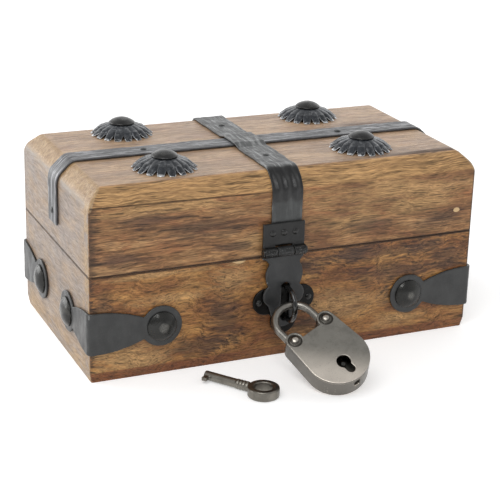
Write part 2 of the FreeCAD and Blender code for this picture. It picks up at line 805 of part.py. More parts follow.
# The vase below the leaf's shoulders hangs a little to one side of the knuckle
vase = [(x + d.leaf_shift if float(drop) <= -float(d.leaf_notch_drop) else x, drop, *arc)
        for x, drop, *arc in right_side + left_side]
slot = [(slot_x + slot_half, slot_foot + slot_half), (slot_x + slot_half, slot_top - slot_half, slot_half),
        (slot_x, slot_top, slot_half), (slot_x - slot_half, slot_top - slot_half),
        (slot_x - slot_half, slot_foot + slot_half, slot_half), (slot_x, slot_foot, slot_half)]
leaf_plate = place(plate("hasp_leaf_plate", "XZ_Plane", [vase, slot], d.iron_thickness),
                   d.hasp_x, leaf_y, d.hasp_pin_z)
leaf_solid = fused("hasp_leaf_solid", leaf_plate, *barrel(
    "hasp_leaf_barrel", d.hasp_barrel_radius,
    [(d.hasp_x - knuckle_half, d.hasp_x + knuckle_half)], hasp_pin_y, d.hasp_pin_z))
leaf_bore = rod("hasp_leaf_bore", d.hasp_pin_radius + d.running_fit, d.hasp_middle_knuckle,
                (d.hasp_x - knuckle_half, hasp_pin_y, d.hasp_pin_z), X)
node(cut("hasp_leaf", leaf_solid, leaf_bore))


# Staple on its three-lobed plate
def lobe(name, x, z):
    return rod(name, d.plate_lobe_radius, d.iron_thickness, (d.staple_x + x, -half_depth - iron_back, z), -Y)


plate_heart = rod("plate_heart", d.plate_lobe_x, d.iron_thickness,
                  (d.staple_x, -half_depth - iron_back, d.plate_lobe_z - d.iron_thickness), -Y)
drilled("staple_plate", fused(
    "staple_plate_blank", plate_heart, lobe("plate_lobe_left", -d.plate_lobe_x, d.plate_lobe_z),
    lobe("plate_lobe_right", d.plate_lobe_x, d.plate_lobe_z),
    lobe("plate_lobe_foot", Size(0), d.plate_foot_z)))

staple_loop = doc.addObject("Part::Torus", "staple_loop")
bind(staple_loop, Radius1=d.staple_bend, Radius2=d.staple_bar, Angle3=180)
place(staple_loop, d.staple_x, staple_bend_y, d.staple_z, FreeCAD.Rotation(Z, -Y, X))
legs = [rod(f"staple_leg_{name}", d.staple_bar, staple_leg_end - staple_bend_y,
            (d.staple_x, staple_bend_y, d.staple_z + side * d.staple_bend), Y)
        for name, side in (("low", -1), ("high", 1))]
node(fused("staple", staple_loop, *legs))


# Rear hinges: two knuckles on the base leaf, one between them on the lid leaf
hinge_back = half_depth + iron_back
hinge_y = hinge_back + d.hinge_barrel_radius
hinge_clear = d.hinge_barrel_radius + d.knuckle_gap
hinge_knuckle = (d.hinge_width - d.knuckle_gap * 2) / 3
pin_end = d.hinge_pin_radius / 2


def hinge_leaf(name, x, side, spans, fit):
    """Leaf below (-1) or above (1) the pin, with a tab to each of its knuckles."""
    half = d.hinge_width / 2
    edges = [hinge_z + side * hinge_clear, hinge_z + side * d.hinge_leaf_height]
    low, high = sorted(edges, key=float)
    parts = [box(f"{name}_plate", (x - half, hinge_back, low), (x + half, hinge_face, high))]
    low, high = sorted([hinge_z, edges[0]], key=float)
    for i, (start, end) in enumerate(spans):
        parts.append(box(f"{name}_tab_{i}", (start, hinge_back, low), (end, hinge_face, high)))
    parts += barrel(f"{name}_barrel", d.hinge_barrel_radius, spans, hinge_y, hinge_z)
    bore = rod(f"{name}_bore", d.hinge_pin_radius + fit, d.hinge_width, (x - half, hinge_y, hinge_z), X)
    drilled(name, cut(f"{name}_bored", fused(f"{name}_solid", *parts), bore))


for side, x in (("left", -d.hinge_x), ("right", d.hinge_x)):
    starts = [x - d.hinge_width / 2 + i * (hinge_knuckle + d.knuckle_gap) for i in range(3)]
    first, middle, last = [(start, start + hinge_knuckle) for start in starts]
    hinge_leaf(f"hinge_{side}_base_leaf", x, -1, [first, last], d.push_fit)
    hinge_leaf(f"hinge_{side}_lid_leaf", x, 1, [middle], d.running_fit)
    node(rod(f"hinge_{side}_pin", d.hinge_pin_radius, d.hinge_width + pin_end * 2,
             (x - d.hinge_width / 2 - pin_end, hinge_y, hinge_z), X))


# Padlock, drawn flat about the middle of its case and then hung in the staple with its case on the floor
k = SimpleNamespace(**{alias: float(size) for alias, size in vars(d).items()})
case_back, case_front = -k.case_depth / 2, k.case_depth / 2
heel, toe = V(k.ear_x, k.ear_rise, 0), V(-k.ear_x, k.ear_rise, 0)
bend_rise = k.ear_rise + k.shackle_leg


def lock_turn(lean):
    return (FreeCAD.Rotation(Z, k.lock_yaw_angle) * FreeCAD.Rotation(X, lean)
            * FreeCAD.Rotation(Z, k.lock_roll_angle))


def lock_spot(turn):
    """Middle of the case when the shackle hangs in the bend of the staple."""
    reach = k.staple_bend - k.staple_bar - k.shackle_radius - k.grip_gap
    rise = polar(reach, k.grip_rise_angle)
    grip = V(k.staple_x, float(staple_bend_y) - rise.x, k.staple_z + rise.y)
    return grip - turn.multVec(V(0, bend_rise, 0) + polar(k.ear_x, k.grip_angle))


def case_floor_gap(lean):
    turn = lock_turn(lean)
    across = turn.multVec(Z).z
    return lock_spot(turn).z + case_back * across - k.case_radius * math.sqrt(1 - across ** 2)


def resting_lean():
    flat, steep = 5.0, 80.0
    while steep - flat > 1e-6:
        middle = (flat + steep) / 2
        if case_floor_gap(middle) > k.floor_gap:
            flat = middle
        else:
            steep = middle
    return flat


lock_rotation = lock_turn(resting_lean())
lock_place = FreeCAD.Placement(lock_spot(lock_rotation), lock_rotation)


def arc_through(centre, radius, first, last):
    """Arc edge between two angles about a centre."""
    points = [centre + polar(radius, angle) for angle in (first, (first + last) / 2, last)]
    return Part.Arc(*points).toShape()


def case_form(shrink, low, high):
    """Round case with two ears, drawn in from its outline by a distance."""
    body, ear, top = k.case_radius - shrink, k.ear_radius - shrink, k.case_top - shrink
    spread = math.degrees(math.acos((body - ear) / heel.Length))
    side = math.degrees(math.atan2(heel.y, heel.x)) - spread
    shoulder = 180 + math.degrees(math.asin((heel.y - top) / ear))
    edges = [
        arc_through(ORIGIN, body, -180 - side, side),
        arc_through(heel, ear, side, shoulder),
        arc_through(toe, ear, 180 - shoulder, 180 - side),
    ]
    ends = [[edge.valueAt(t) for t in (edge.FirstParameter, edge.LastParameter)] for edge in edges]
    lines = [Part.LineSegment(ends[i][1], ends[(i + 1) % 3][0]).toShape() for i in range(3)]
    wire = Part.Wire(Part.__sortEdges__(edges + lines))
    wire.translate(V(0, 0, low))
    return Part.Face(wire).extrude(V(0, 0, high - low))


def disc(centre, radius, low, high):
    return Part.makeCylinder(radius, high - low, V(centre.x, centre.y, low))


def block(low, high):
    return Part.makeBox(*[b - a for a, b in zip(low, high)], V(*low))


def sector(centre, inner, outer, first, last, half):
    """Part of a ring between two angles."""
    ring = Part.makeCylinder(outer, half * 2, ORIGIN, Z, last - first)
    ring = ring.cut(Part.makeCylinder(inner, half * 2)) if inner else ring
    ring.rotate(ORIGIN, Z, first)
    ring.translate(centre - V(0, 0, half))
    return ring


rivet_holes = [disc(ear, k.rivet_radius + k.push_fit, case_back, case_front) for ear in (heel, toe)]
post = V(0, -k.keyhole_drop, 0)

inside = case_back + k.case_plate
opening = k.shackle_radius + k.shackle_slack
tongue_outer = k.ear_x * 2 - k.rivet_radius - k.tongue_gap
tongue_inner = tongue_outer - k.tongue_width
tongue_half = k.tongue_thickness / 2
mouths = [
    sector(heel, 0, k.mouth_reach, 90 - k.lock_open_angle - k.mouth_side_angle, 90 + k.mouth_side_angle,
           opening),
    sector(heel, tongue_inner - k.tongue_gap, tongue_outer + k.tongue_gap, 180 - k.tongue_mouth_angle,
           180 + k.tongue_angle, tongue_half + k.shackle_slack),
    block((toe.x - k.mouth_reach, toe.y + k.shackle_radius, -opening),
          (toe.x + k.toe_mouth_reach, toe.y + k.mouth_reach, opening)),
]
back_case = case_form(0, case_back, case_front - k.case_plate)
back_case = back_case.cut([case_form(k.case_wall, inside, case_front)] + mouths + rivet_holes)
node(solid("lock_back_case", back_case, lock_place))

front_plate = case_form(0, case_front - k.case_plate, case_front)
grooves = [Part.makeTorus(k.rivet_ring, k.rivet_ring_depth, ear + V(0, 0, case_front))
           for ear in (heel, toe)]
slot_half_width = k.keyhole_slot / 2
slot_end = post - V(0, k.keyhole_radius + k.keyhole_reach - slot_half_width, 0)
keyhole = [disc(post, k.keyhole_radius, inside, case_front),
           disc(slot_end, slot_half_width, inside, case_front),
           block((-slot_half_width, slot_end.y, inside), (slot_half_width, post.y, case_front))]
node(solid("lock_front_plate", front_plate.cut(rivet_holes + grooves + keyhole), lock_place))

rivet_rim, crown_radius, crown_height = domed_head(k.rivet_head, k.rivet_head_height)
rivet = turned([
    (0, case_back - k.rivet_head_height),
    (k.rivet_head, case_back - rivet_rim, crown_radius, case_back - crown_height),
    (k.rivet_head, case_back), (k.rivet_radius, case_back),
    (k.rivet_radius, case_front), (k.rivet_head, case_front), (k.rivet_head, case_front + rivet_rim),
    (0, case_front + k.rivet_head_height, crown_radius, case_front + crown_height)])
for name, ear in (("heel_rivet", heel), ("toe_rivet", toe)):
    node(solid(name, rivet.translated(ear), lock_place))
node(solid("key_post", disc(post, k.post_radius, inside, case_front - k.case_plate * 2), lock_place))

# Shackle: an eye on the heel rivet, the bow, and a curved tongue that passes beside the toe rivet
toe_end = toe.y + k.rivet_radius + k.tongue_gap
notch_low, notch_high = k.latch_rise - k.latch_gap, k.latch_rise + k.latch_strip + k.latch_gap
notch_face = heel.x - math.sqrt(tongue_inner ** 2 - (heel.y - k.latch_rise) ** 2) - k.notch_depth
bow = Part.makeTorus(k.ear_x, k.shackle_radius, V(0, bend_rise, 0), Z, 0, 360, 180)
shackle = disc(heel, k.shackle_eye, -k.shackle_radius, k.shackle_radius).fuse([
    bow,
    Part.makeCylinder(k.shackle_radius, bend_rise - heel.y, heel, Y),
    Part.makeCylinder(k.shackle_radius, bend_rise - toe_end, V(toe.x, toe_end, 0), Y),
    block((toe.x, toe_end, -tongue_half), (heel.x - tongue_inner, toe_end + k.shackle_radius, tongue_half)),
    sector(heel, tongue_inner, tongue_outer, 180 - k.tongue_start_angle, 180 + k.tongue_angle, tongue_half)])
shackle = shackle.cut([
    disc(heel, k.rivet_radius + k.running_fit, case_back, case_front),
    block((notch_face, notch_low, -tongue_half), (notch_face + k.mouth_reach, notch_high, tongue_half))])
node(solid("lock_shackle", shackle.removeSplitter(), lock_place))

# Spring latch: its foot stands on the back plate, its nose is in the notch, its lever is beside the key
nose = notch_face + k.latch_gap
strip_low, strip_high = k.latch_rise, k.latch_rise + k.latch_strip
lever, foot_x, foot_y = k.latch_lever_x, k.latch_foot_x, k.latch_foot_y
latch_outline = [
    (nose, strip_low), (lever, strip_low), (lever, -k.post_radius), (lever + k.latch_strip, -k.post_radius),
    (lever + k.latch_strip, strip_low), (foot_x, strip_low), (foot_x + k.latch_foot_lean, foot_y),
    (foot_x + k.latch_foot_lean + k.latch_strip, foot_y), (foot_x + k.latch_strip, strip_high),
    (nose, strip_high)]
latch_wire = Part.makePolygon(
    [V(x, y, -k.latch_thickness / 2) for x, y in latch_outline + latch_outline[:1]])
latch = Part.Face(latch_wire).extrude(V(0, 0, k.latch_thickness))
latch_foot = block((foot_x, foot_y - k.latch_strip, inside),
                   (foot_x + k.latch_foot_lean * 2, foot_y + k.latch_foot_lean, k.latch_thickness / 2))
node(solid("lock_latch", latch.fuse(latch_foot).removeSplitter(), lock_place))


# Barrel key on the floor, drawn along X from its bit to its bow
bow_x = d.key_stem_length + d.key_bow_radius - d.key_stem_radius / 2
key_height = d.key_bead_radius
beads = [rod(f"key_bead_{i}", d.key_bead_radius, d.key_bead_width,
             (d.key_bead_start + i * d.key_bead_pitch, 0, 0), X) for i in range(KEY_BEADS)]
bow_disc = rod("key_bow_disc", d.key_bow_radius, key_height * 2, (bow_x, 0, -key_height), Z)
bow_ring = cut("key_bow_ring", bow_disc, rod("key_bow_hole", d.key_bow_hole, key_height * 2,
                                             (bow_x, 0, -key_height), Z))
bow_soft = rounded("key_bow_soft", bow_ring, lambda edge: len(edge.Vertexes) == 1,
                   lambda edge: d.key_bow_round)
key_bit = box("key_bit", (d.key_bit_start, -d.key_bit_reach, -d.key_bit_height / 2),
              (d.key_bit_start + d.key_bit_width, Size(0), d.key_bit_height / 2))
key_solid = fused("key_solid", rod("key_stem", d.key_stem_radius, d.key_stem_length, (0, 0, 0), X),
                  *beads, bow_soft, key_bit)
key_bore = rod("key_bore", d.key_bore_radius, d.key_bore_depth, (0, 0, 0), X)
node(place(cut("key", key_solid, key_bore), d.key_x, d.key_y, key_height + d.floor_gap,
           FreeCAD.Rotation(Z, k.key_turn_angle)))

doc.recompute()
for item in doc.Objects:
    if {"Invalid", "Error"} & set(item.State):
        raise SystemExit(f"{item.Label} did not build: {item.State}")
for item in nodes:
    if item.Shape.isNull() or not item.Shape.isValid() or not item.Shape.Solids:
        raise SystemExit(f"{item.Label} has no valid solid")
os.makedirs("parts", exist_ok=True)
for item in nodes:
    item.Shape.exportStep(f"parts/{item.Label}.step")
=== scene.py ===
"""Looks of a wooden treasure chest with iron straps, a hasp, a padlock and a key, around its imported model."""
import json
import math

import bpy
from mathutils import Matrix, Quaternion, Vector


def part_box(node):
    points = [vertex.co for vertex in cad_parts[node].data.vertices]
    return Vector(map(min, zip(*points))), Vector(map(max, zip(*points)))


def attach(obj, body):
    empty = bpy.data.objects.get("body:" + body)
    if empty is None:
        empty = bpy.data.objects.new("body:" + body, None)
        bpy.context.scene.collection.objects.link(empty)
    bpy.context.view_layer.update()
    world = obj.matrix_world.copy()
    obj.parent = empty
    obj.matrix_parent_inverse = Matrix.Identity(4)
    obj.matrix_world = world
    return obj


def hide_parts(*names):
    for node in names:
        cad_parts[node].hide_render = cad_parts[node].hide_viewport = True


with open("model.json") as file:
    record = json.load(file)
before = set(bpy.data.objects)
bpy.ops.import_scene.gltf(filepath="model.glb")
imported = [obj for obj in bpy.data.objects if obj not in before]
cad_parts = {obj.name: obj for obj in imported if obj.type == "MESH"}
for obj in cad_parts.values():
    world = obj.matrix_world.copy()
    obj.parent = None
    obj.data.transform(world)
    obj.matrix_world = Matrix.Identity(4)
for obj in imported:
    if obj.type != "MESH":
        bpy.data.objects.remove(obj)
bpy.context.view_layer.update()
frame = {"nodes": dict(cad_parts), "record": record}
NODES = frame["nodes"]
RECORD = frame["record"]
BODY_OF = {node: body for body, nodes in RECORD["behaviour"]["bodies"].items() for node in nodes}
AXIS_OF = {joint["name"]: Vector(joint["axis"]) for joint in RECORD["behaviour"]["joints"]}
MM = 0.001

# The photograph's view
CAMERA_AT = Vector((-290.89, -652.45, 300.19)) * MM
CAMERA_LOOKS = Vector((0.384996, 0.855112, -0.347225))
CAMERA_ROLL = math.radians(1.673)
FOCAL_PIXELS = 1470.46
PHOTO_PIXELS = 500
SENSOR = 36.0


def srgb(red, green, blue):
    """Linear colour from 8-bit screen values."""
    linear = [c / 12.92 if c <= 0.04045 else ((c + 0.055) / 1.055) ** 2.4
              for c in (red / 255, green / 255, blue / 255)]
    return (*linear, 1.0)


def dimmed(colour, share):
    """A colour that keeps only a share of its light."""
    return (*[channel * share for channel in colour[:3]], 1.0)


def middle_of(node):
    """Middle of a node's box in millimetres."""
    low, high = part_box(node)
    return (Vector(low) + Vector(high)) / 2 / MM


def fade(value, start, end):
    """Smooth step from 0 at the start to 1 at the end."""
    part = min(max((value - start) / (end - start), 0.0), 1.0)
    return part * part * (3 - 2 * part)


# Places and measures on the chest, in millimetres
LID_LOW, LID_HIGH = [Vector(corner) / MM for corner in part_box("lid_front_board")]
HALF_LENGTH, HALF_DEPTH = LID_HIGH.x, -LID_LOW.y
SEAM_Z = (LID_LOW.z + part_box("base_front_board")[1][2] / MM) / 2
# The foot's height and blur place a band of painted shade on the foot, and the last pair the inset of a painted
# shade line along the right edge
FOOT_HEIGHT, FOOT_BLUR, RIGHT_SHADE_LINE = 5.0, 0.4, (1.6, 0.7)
GLUE_LINE, GLUE_LINE_OPENS, GLUE_LINE_SLOPE = 84.8, (2.0, -24.0), -0.013
# Painted shade along the front edge of the top: how far in from the edge it reaches, and the x over which it
# comes in
TOP_SHADE_BAND, TOP_SHADE_STARTS = 17.0, (10, 85)
WARM_FRONT, WARM_FOOT = (18, 2), (24, 2)
STRAP_X = middle_of("cross_strap").x
# Where painted shade darkens the cross strap's front bend: heights where it starts and ends, how far forward,
# and how much its edge wavers
BEND_FOOT, BEND_HEAD, BEND_FRONT, BEND_WAVE = (77.5, 82.5), (98.5, 96.0), (-30, -40), 8.0
FOLD_FOOT, FOLD_HEAD, FOLD_FRONT = (79.5, 81.5), (95, 89), (-44, -48)
FOLD_PITCH, FOLD_HEIGHT, FOLD_WAY = 4.7, 0.85, Vector((0, -0.75, 0.45))
# Heights of the hasp's knuckles, coloured nearly black with painted glints, and how soft that band's edges are
KNUCKLES, KNUCKLE_BLUR = (53.2, 58.2), 0.6
ROSETTES = [node for node in NODES if node.startswith("rosette_") and node != "rosette_nails"]
rosette_middles = [middle_of(node) for node in ROSETTES]
ROSETTES_AT = sum(rosette_middles, Vector()) / len(rosette_middles)
ROSETTES_HALF = [abs(side) for side in rosette_middles[0] - ROSETTES_AT]
ROSETTE_RADIUS = (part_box("rosette_front_left")[1][0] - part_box("rosette_front_left")[0][0]) / 2 / MM
# Band inside the rosettes' rims that gets painted glints
TIP_GLINT_BAND = 1.4, 0.4


# Shader graphs

class Graph:
    """Node tree of a material or of the world, with short calls that each give a socket."""

    def __init__(self, owner):
        owner.use_nodes = True
        self.owner = owner
        self.tree = owner.node_tree
        self.coords = self.tree.nodes.new("ShaderNodeTexCoord")

    def put(self, socket, value):
        if isinstance(value, bpy.types.NodeSocket):
            self.tree.links.new(value, socket)
        elif value is not None:
            socket.default_value = value

    def node(self, kind, inputs=(), out=0, **settings):
        node = self.tree.nodes.new("ShaderNode" + kind)
        for name, value in settings.items():
            setattr(node, name, value)
        for key, value in dict(inputs).items():
            self.put(node.inputs[key], value)
        return node.outputs[out]

    def math(self, operation, *values):
        return self.node("Math", enumerate(values), operation=operation)

    def times(self, first, *others):
        for other in others:
            first = self.math("MULTIPLY", first, other)
        return first

    def plus(self, first, *others):
        for other in others:
            first = self.math("ADD", first, other)
        return first

    def minus(self, first, second):
        return self.math("SUBTRACT", first, second)

    def larger(self, first, second):
        return self.math("MAXIMUM", first, second)

    def absolute(self, value):
        return self.math("ABSOLUTE", value)

    def distance(self, *sides):
        return self.math("SQRT", self.plus(*[self.times(side, side) for side in sides]))

    def about_zero(self, noise):
        """Noise from 0 to 1 moved to swing about 0."""
        return self.minus(noise, 0.5)

    def span(self, value, low, high, to_low=0.0, to_high=1.0, smooth=True):
        """Value moved from one range to another and held inside it."""
        return self.node("MapRange", {"Value": value, "From Min": low, "From Max": high,
                                      "To Min": to_low, "To Max": to_high},
                         interpolation_type="SMOOTHSTEP" if smooth else "LINEAR")

    def vector(self, operation, *values, out=0):
        return self.node("VectorMath", enumerate(values), out, operation=operation)

    def scaled(self, vector, factor):
        return self.node("VectorMath", {0: vector, "Scale": factor}, operation="SCALE")

    def axes(self, vector):
        node = self.tree.nodes.new("ShaderNodeSeparateXYZ")
        self.put(node.inputs[0], vector)
        return node.outputs

    def place(self, move=(0, 0, 0), turn=(0, 0, 0)):
        """Position on the piece in millimetres, turned and then moved."""
        millimetres = self.scaled(self.coords.outputs["Object"], 1 / MM)
        return self.node("Mapping", {"Vector": millimetres, "Location": move, "Rotation": turn})

    def facing(self):
        """The surface's own direction, as three sockets."""
        return self.axes(self.coords.outputs["Normal"])

    def edges(self, low, high):
        """How sharply the surface turns outwards, from its pointiness."""
        return self.span(self.node("NewGeometry", out="Pointiness"), low, high)

    def noise(self, vector, scale=1.0, detail=3.0, rough=0.55, twist=0.0):
        return self.node("TexNoise", {"Vector": vector, "Scale": scale, "Detail": detail,
                                      "Roughness": rough, "Distortion": twist})

    def spots(self, vector, size, detail=2.0, rough=0.5, twist=0.0):
        """Noise whose spots have a size in millimetres along each axis."""
        shrunk = self.node("Mapping", {"Vector": vector, "Scale": [1 / side for side in size]})
        return self.noise(shrunk, 1.0, detail, rough, twist)

    def ramp(self, value, colours):
        """Evenly spaced colours from a value of 0 to one of 1."""
        node = self.tree.nodes.new("ShaderNodeValToRGB")
        elements = node.color_ramp.elements
        while len(elements) < len(colours):
            elements.new(0.5)
        for index, (element, colour) in enumerate(zip(elements, colours)):
            element.position = index / (len(colours) - 1)
            element.color = colour
        self.put(node.inputs[0], value)
        return node.outputs[0]

    def mix(self, factor, first, second):
        return self.node("Mix", {0: factor, 6: first, 7: second}, 2, data_type="RGBA")

    def coat(self, under, over, *masks, share=1.0):
        """One colour laid over another, as far as its share and all its masks let it show."""
        return self.mix(self.times(share, *masks), under, over)

    def bump(self, height, depth, below=None):
        """Relief of a height from 0 to 1, with its depth in millimetres."""
        return self.node("Bump", {"Height": height, "Distance": depth * MM, "Strength": 1.0, "Normal": below})

    def finish(self, shader="Principled BSDF", **inputs):
        for name, value in inputs.items():
            self.put(self.tree.nodes[shader].inputs[name.replace("_", " ")], value)
        return self.owner


# Wood

# Smoky colour of the grain and its patches, also used for painted shade on the top's front edge and behind the
# hasp
SMOKE_AND_SHADE = srgb(68, 52, 45)
DASH = srgb(64, 38, 22)
RED = srgb(146, 90, 58)
GOLDEN = srgb(184, 146, 98)
FRESH = srgb(212, 180, 134)
# Painted shade along the left and right edges of the front
EDGE_SHADE = srgb(50, 38, 32)
# Painted shade on the downward-tilted foot of the front
FOOT_SHADE = srgb(118, 66, 36)
END_TONES = srgb(136, 109, 78), srgb(160, 134, 100), srgb(179, 155, 120)
# End faces paler: partly their own end-grain colour, partly painted sheen
END_PALE_AND_SHEEN = srgb(137, 129, 122)
# Painted sheen on the flat top
TOP_SHEEN = srgb(180, 162, 141)
PALE_EDGE = srgb(166, 138, 99)
CRACK = srgb(40, 24, 14)

# Sizes of the grain's patterns along and across it, lengths of its bends, and its depth, in millimetres
HUE_SIZE, RED_SIZE, CLOUD_SIZE, FIBRE_SIZE = (26, 7.0), (20, 9.0), (24, 8.0), (6.0, 0.34)
STROKE_WIDTH, DASH_WIDTH = 1.1, 0.65
BEND_LENGTHS = 45, 10
GRAIN_DEPTH = 0.14

# A dash's share of a stroke's length, how strongly the lines shade the wood, and shares of the width of the
# painted edge shade
DASH_SHARE = 0.45
STROKE_SHADE, DASH_SHADE, FIBRE_SHADE, DEEPEST_SHADE = 2.3, 3.0, 1.0, 0.25
EDGE_SHADE_WAVE, EDGE_SHADE_CORE = 3, 0.2


def wood(name, along, tones, seed, sway=(8.0, 1.2), stroke=12.0, marks=(), glows=(), chips=(), edge_shade=0.0,
         glue_line=None, sooted=()):
    """Oiled hardwood whose short dark dashes, hues and smoky clouds run along an axis.

    tones are the dark, middle and light colours of the grain, sway how far it wanders in slow and in
    quick bends, and stroke how long its lines are. marks are smoky patches and painted shadows on the front,
    glows golden patches and painted highlights, and chips spots of fresh wood, each (x, z, half length, half
    height) in millimetres. scorch is the width of the strip of painted shade along the left edge of the
    front, and where it is given the right edge has a thin line of painted shade. glue_line is the height of
    the open line in the left half of the front. sooted are smoky patches on the flat top, each (x, y, half
    length, half depth), which join the painted shade along the top's front edge.
    """
    g = Graph(bpy.data.materials.new(name))
    where = g.place(seed)
    px, py, pz = g.axes(g.place())
    x, y, z = g.facing()
    endwise = g.absolute(x)
    end_face = g.span(endwise, 0.8, 0.95)
    frontal = g.span(y, -0.45, -0.75)
    flat_top = g.span(z, 0.95, 0.995)
    sloping = g.span(z, 0.10, 0.35)
    long_slope = g.times(sloping, g.span(z, 0.985, 0.90), g.span(g.absolute(y), 0.12, 0.35))
    end_slope = g.times(sloping, g.span(endwise, 0.08, 0.30))

    def drawn(vector, size, **look):
        length, width = size
        return g.spots(vector, [length if axis == along else width for axis in "XYZ"], **look)

    wander = g.plus(*[g.times(g.about_zero(g.noise(where, 1 / length, 2.0)), reach * 2)
                      for length, reach in zip(BEND_LENGTHS, sway)])
    flow = g.vector("ADD", where, g.node("CombineXYZ", {axis: wander for axis in "XYZ" if axis != along}))
    hues = drawn(flow, HUE_SIZE, detail=3.0, rough=0.55)
    reds = drawn(where, RED_SIZE, detail=3.0, rough=0.6, twist=0.5)
    clouds = drawn(where, CLOUD_SIZE, detail=4.0, rough=0.65, twist=0.4)
    strokes = drawn(flow, (stroke, STROKE_WIDTH), detail=3.0, rough=0.6)
    dashes = drawn(flow, (stroke * DASH_SHARE, DASH_WIDTH), detail=2.0, rough=0.6)
    fibre = drawn(flow, FIBRE_SIZE, detail=1.0)
    ragged = g.times(g.minus(g.plus(strokes, clouds), 1.0), 2.0)

    def patch(spot, rough_edge=1.0, side=pz, seen_on=frontal):
        """Ragged oval on the surfaces that it is seen on, with its second measures along a side."""
        middle_x, middle_side, half_x, half_side = spot
        far = g.distance(g.times(g.minus(px, middle_x), 1 / half_x),
                         g.times(g.minus(side, middle_side), 1 / half_side))
        return g.times(g.span(g.plus(far, g.times(ragged, rough_edge)), 1.2, 0.3), seen_on)

    colour = g.ramp(g.span(hues, 0.36, 0.64, smooth=False), tones)
    colour = g.coat(colour, RED, g.span(reds, 0.52, 0.70), share=0.4)
    colour = g.coat(colour, GOLDEN, long_slope, share=0.7)
    # Golden patches, and painted highlights where listed
    for spot in glows:
        colour = g.coat(colour, GOLDEN, patch(spot), share=0.7)
    colour = g.coat(colour, SMOKE_AND_SHADE, g.span(clouds, 0.52, 0.66), g.span(z, 0.9, 0.3, 0.4, 1.0),
                    share=g.span(long_slope, 0.0, 1.0, 0.28, 0.10))
    # Smoky patches, and painted shadows where listed
    for spot in marks:
        colour = g.coat(colour, SMOKE_AND_SHADE, patch(spot), share=0.62)
    # Painted shade along the left and right edges of the front
    if edge_shade:
        edge_x = g.plus(px, g.times(g.about_zero(strokes), edge_shade * EDGE_SHADE_WAVE))
        left_shade = g.span(edge_x, edge_shade - HALF_LENGTH, edge_shade * EDGE_SHADE_CORE - HALF_LENGTH)
        right_shade = g.span(px, *[HALF_LENGTH - inset for inset in RIGHT_SHADE_LINE])
        colour = g.coat(colour, EDGE_SHADE, g.larger(left_shade, right_shade), frontal, share=0.72)

    # Ends, top and foot: paler ends, partly their own colour and partly painted sheen, painted sheen on the
    # top, and painted shade along the top's front edge and on the foot
    speckle = g.ramp(g.span(g.noise(where, 0.36, 4.0, 0.65), 0.32, 0.68, smooth=False), END_TONES)
    colour = g.coat(colour, speckle, end_slope, share=0.8)
    rim = g.larger(g.span(py, *[side - HALF_DEPTH for side in WARM_FRONT]), g.span(pz, *WARM_FOOT))
    warm = g.larger(g.times(rim, g.span(clouds, 0.38, 0.58)), g.times(g.span(reds, 0.44, 0.66), 0.45))
    # End faces paler: partly their own end-grain colour, partly painted sheen, warmer near the front edge and
    # the foot
    colour = g.coat(colour, g.mix(warm, END_PALE_AND_SHEEN, PALE_EDGE), end_face, share=0.78)
    # Painted sheen on the flat top
    colour = g.coat(colour, TOP_SHEEN, flat_top, share=0.42)
    # Painted shade along the top's front edge, joined by the smoky patches on the top
    near_edge = g.span(g.plus(py, g.times(ragged, 2.0)), TOP_SHADE_BAND - HALF_DEPTH, TOP_SHADE_BAND * 0.5 - HALF_DEPTH)
    top_shade_and_soot = g.times(flat_top, near_edge, g.span(px, *TOP_SHADE_STARTS))
    for spot in sooted:
        top_shade_and_soot = g.larger(top_shade_and_soot, g.times(patch(spot, 0.7, py, flat_top), 0.7))
    colour = g.coat(colour, SMOKE_AND_SHADE, top_shade_and_soot, share=0.9)
    # Painted shade on the downward-tilted foot of the front
    foot_shade = g.span(pz, FOOT_HEIGHT + FOOT_BLUR, FOOT_HEIGHT - FOOT_BLUR)
    colour = g.coat(colour, FOOT_SHADE, foot_shade, frontal, share=0.7)

    # Grain lines, calmer on the ends and the top
    lively = g.times(g.span(g.larger(endwise, g.times(z, 0.86)), 0.75, 0.95, 1.0, 0.5),
                     g.span(end_slope, 0.0, 1.0, 1.0, 0.45))
    shade = g.plus(1.0, *[g.times(g.about_zero(lines), lively, strength) for lines, strength in (
        (strokes, STROKE_SHADE), (dashes, DASH_SHADE), (fibre, FIBRE_SHADE))])
    colour = g.scaled(colour, g.larger(shade, DEEPEST_SHADE))
    pores = g.times(g.span(dashes, 0.55, 0.64), lively)
    colour = g.coat(colour, DASH, pores, share=0.6)

    # Chips, the glue line and the seam under the lid
    for spot in chips:
        colour = g.coat(colour, FRESH, g.span(patch(spot, 0.3), 0.25, 0.6))
    if glue_line:
        line_z = g.plus(glue_line, g.times(ragged, 0.25), g.times(px, GLUE_LINE_SLOPE))
        off_line = g.absolute(g.minus(pz, line_z))
        open_part = g.times(g.span(px, *GLUE_LINE_OPENS), g.span(strokes, 0.34, 0.50, 0.5, 1.0))
        colour = g.coat(colour, CRACK, g.span(off_line, 0.62, 0.12), open_part, frontal, share=0.85)
    off_seam = g.absolute(g.minus(pz, SEAM_Z))
    upright = g.span(g.absolute(z), 0.5, 0.3)
    colour = g.coat(colour, CRACK, g.span(off_seam, 0.95, 0.45), upright, share=0.9)

    relief = g.plus(g.times(fibre, 0.5), g.times(pores, -0.6), g.times(strokes, 0.6))
    rough = g.larger(g.span(strokes, 0.3, 0.7, 0.46, 0.34), g.times(top_shade_and_soot, 0.75))
    return g.finish(Base_Color=colour, Roughness=rough, Normal=g.bump(relief, GRAIN_DEPTH),
                    Specular_IOR_Level=0.35)


# Metal

GRIT = srgb(90, 84, 76)
# Painted shade for the strap's bend, near black for the knuckle band, and painted shade for hollows
BEND_SHADE, KNUCKLE_BLACK, HOLLOW_SHADE = srgb(4, 4, 5), srgb(10, 10, 10), srgb(8, 9, 12)


